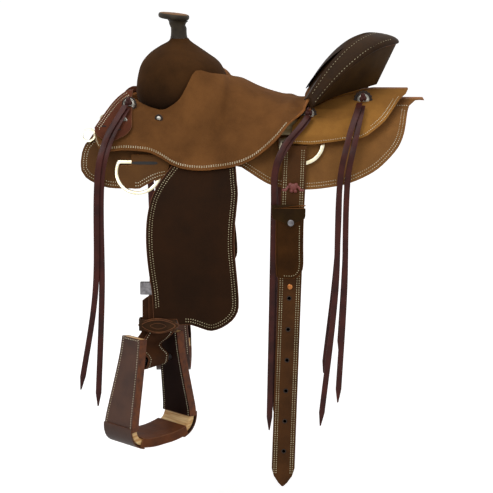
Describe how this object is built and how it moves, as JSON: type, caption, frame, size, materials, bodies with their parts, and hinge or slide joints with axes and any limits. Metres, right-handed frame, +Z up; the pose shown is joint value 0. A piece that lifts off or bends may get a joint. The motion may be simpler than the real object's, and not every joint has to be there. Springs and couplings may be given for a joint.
{
  "type": "roping saddle",
  "caption": "Western roping saddle with horn, cantle, rough-out seat and skirts, swinging fenders with covered stirrups, back billets, rigging dees and hanging strings.",
  "frame": {"origin": "on the centre plane, inside the arch that the horse's back fills, 0.096 m below the skirts' ridge", "axes": "+Z up, +X towards the cantle (the horn is at -X), -Y towards the near (left) side"},
  "size_m": [0.7371, 0.7627, 1.0097],
  "materials": {
    "cover_leather": "satin",
    "dark_leather": "satin",
    "engraved_silver": "polished",
    "horn_wrap": "satin",
    "laminated_wood": "satin",
    "latigo_leather": "satin",
    "nickel": "polished",
    "rawhide_over_wood": "matte",
    "roughout_leather": "rough",
    "sheepskin": "fleece",
    "steel": "satin",
    "strap_leather": "satin",
    "tread_leather": "satin"
  },
  "bodies": {
    "saddle": {"cantle_back": "dark_leather", "cantle_roll": "dark_leather", "concho_front_near": "engraved_silver", "concho_front_off": "engraved_silver", "concho_middle_near": "engraved_silver", "concho_middle_off": "engraved_silver", "concho_rear_near": "engraved_silver", "concho_rear_off": "engraved_silver", "fork_cover": "roughout_leather", "front_dee_near": "nickel", "front_dee_off": "nickel", "front_tab_near": "roughout_leather", "front_tab_off": "roughout_leather", "ground_seat": "strap_leather", "horn_cap": "dark_leather", "horn_core": "steel", "horn_wrap": "horn_wrap", "rear_dee_near": "nickel", "rear_dee_off": "nickel", "rear_jockey_near": "roughout_leather", "rear_jockey_off": "roughout_leather", "seat": "roughout_leather", "skirt_lining_near": "sheepskin", "skirt_lining_off": "sheepskin", "skirt_near": "roughout_leather", "skirt_off": "roughout_leather", "strings_front_near": "latigo_leather", "strings_front_off": "latigo_leather", "strings_middle_near": "latigo_leather", "strings_middle_off": "latigo_leather", "strings_rear_near": "latigo_leather", "strings_rear_off": "latigo_leather", "tree_bar_near": "rawhide_over_wood", "tree_bar_off": "rawhide_over_wood", "tree_cantle": "rawhide_over_wood", "tree_fork": "rawhide_over_wood"},
    "billet_near": {"back_billet_near": "strap_leather", "pouch": "cover_leather"},
    "billet_off": {"back_billet_off": "strap_leather"},
    "breast_dee_near": {"breast_dee_near": "nickel"},
    "breast_dee_off": {"breast_dee_off": "nickel"},
    "fender_near": {"fender_near": "dark_leather", "hobble_strap_near": "cover_leather", "leather_buckle_near": "steel", "stirrup_leather_near": "strap_leather"},
    "fender_off": {"fender_off": "dark_leather", "hobble_strap_off": "cover_leather", "leather_buckle_off": "steel", "stirrup_leather_off": "strap_leather"},
    "pouch_flap": {"pouch_flap": "cover_leather"},
    "stirrup_near": {"stirrup_bolt_near": "steel", "stirrup_cover_front_near": "cover_leather", "stirrup_cover_rear_near": "cover_leather", "stirrup_frame_near": "laminated_wood", "tread_cover_near": "tread_leather"},
    "stirrup_off": {"stirrup_bolt_off": "steel", "stirrup_cover_front_off": "cover_leather", "stirrup_cover_rear_off": "cover_leather", "stirrup_frame_off": "laminated_wood", "tread_cover_off": "tread_leather"}
  },
  "joints": [
    {"name": "fender_near_swing", "type": "hinge", "parent": "saddle", "child": "fender_near", "pos_m": [-0.1614, -0.168, -0.012], "axis": [0, -0.8908, 0.4543], "range_deg": [-8, 7]},
    {"name": "fender_off_swing", "type": "hinge", "parent": "saddle", "child": "fender_off", "pos_m": [-0.1799, 0.168, -0.012], "axis": [0, -0.8908, -0.4543], "range_deg": [-4.5, 7]},
    {"name": "stirrup_near_rock", "type": "hinge", "parent": "fender_near", "child": "stirrup_near", "pos_m": [-0.183, -0.279, -0.428], "axis": [-0.6149, -0.787, 0.0499], "range_deg": [-15, 20]},
    {"name": "stirrup_off_rock", "type": "hinge", "parent": "fender_off", "child": "stirrup_off", "pos_m": [-0.194, 0.279, -0.428], "axis": [-0.0698, 0.9976, 0], "range_deg": [-18, 18]},
    {"name": "billet_near_swing", "type": "hinge", "parent": "saddle", "child": "billet_near", "pos_m": [0.1009, -0.16259, -0.008], "axis": [0, -0.8908, 0.4543], "range_deg": [-2.5, 2.5]},
    {"name": "billet_off_swing", "type": "hinge", "parent": "saddle", "child": "billet_off", "pos_m": [0.0956, 0.16259, -0.008], "axis": [0, -0.8908, -0.4543], "range_deg": [-1.5, 2]},
    {"name": "pouch_flap_lift", "type": "hinge", "parent": "billet_near", "child": "pouch_flap", "pos_m": [0.1015, -0.20416, -0.109], "axis": [-1, 0, 0], "range_deg": [0, 105]},
    {"name": "breast_dee_near_swing", "type": "hinge", "parent": "saddle", "child": "breast_dee_near", "pos_m": [-0.3161, -0.13678, 0.027], "axis": [0, 0.7305, 0.6829], "range_deg": [0, 60]},
    {"name": "breast_dee_off_swing", "type": "hinge", "parent": "saddle", "child": "breast_dee_off", "pos_m": [-0.3161, 0.13678, 0.027], "axis": [0, 0.7305, -0.6829], "range_deg": [0, 60]}
  ]
}
